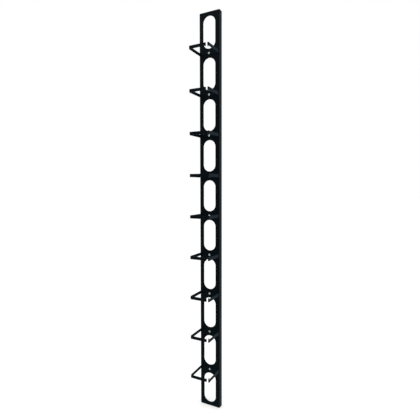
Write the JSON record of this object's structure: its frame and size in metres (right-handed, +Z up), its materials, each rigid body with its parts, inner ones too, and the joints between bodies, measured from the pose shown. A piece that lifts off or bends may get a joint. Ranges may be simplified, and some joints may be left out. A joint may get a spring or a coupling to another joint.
{
  "type": "vertical cable manager",
  "caption": "Tall slotted steel panel for a rack cabinet, with open strip rings along its front that hold bundles of cable.",
  "frame": {"origin": "midway between the two fixing holes of the bottom end flange, on its outer face", "axes": "+Z up the panel, +X to the right as seen from the front, the rings reach forward to -Y"},
  "size_m": [0.1, 0.126, 1.828],
  "materials": {
    "panel_coat": "satin black powder coat",
    "ring_coat": "satin black powder coat",
    "zinc_plate": "bright zinc plate"
  },
  "bodies": {
    "root": {"panel": "panel_coat", "ring_1": "ring_coat", "ring_2": "ring_coat", "ring_3": "ring_coat", "ring_4": "ring_coat", "ring_5": "ring_coat", "ring_6": "ring_coat", "ring_7": "ring_coat", "ring_8": "ring_coat", "ring_9": "ring_coat", "ring_screw_1": "zinc_plate", "ring_screw_2": "zinc_plate", "ring_screw_3": "zinc_plate", "ring_screw_4": "zinc_plate", "ring_screw_5": "zinc_plate", "ring_screw_6": "zinc_plate", "ring_screw_7": "zinc_plate", "ring_screw_8": "zinc_plate", "ring_screw_9": "zinc_plate", "ring_nut_1": "zinc_plate", "ring_nut_2": "zinc_plate", "ring_nut_3": "zinc_plate", "ring_nut_4": "zinc_plate", "ring_nut_5": "zinc_plate", "ring_nut_6": "zinc_plate", "ring_nut_7": "zinc_plate", "ring_nut_8": "zinc_plate", "ring_nut_9": "zinc_plate"}
  },
  "joints": []
}
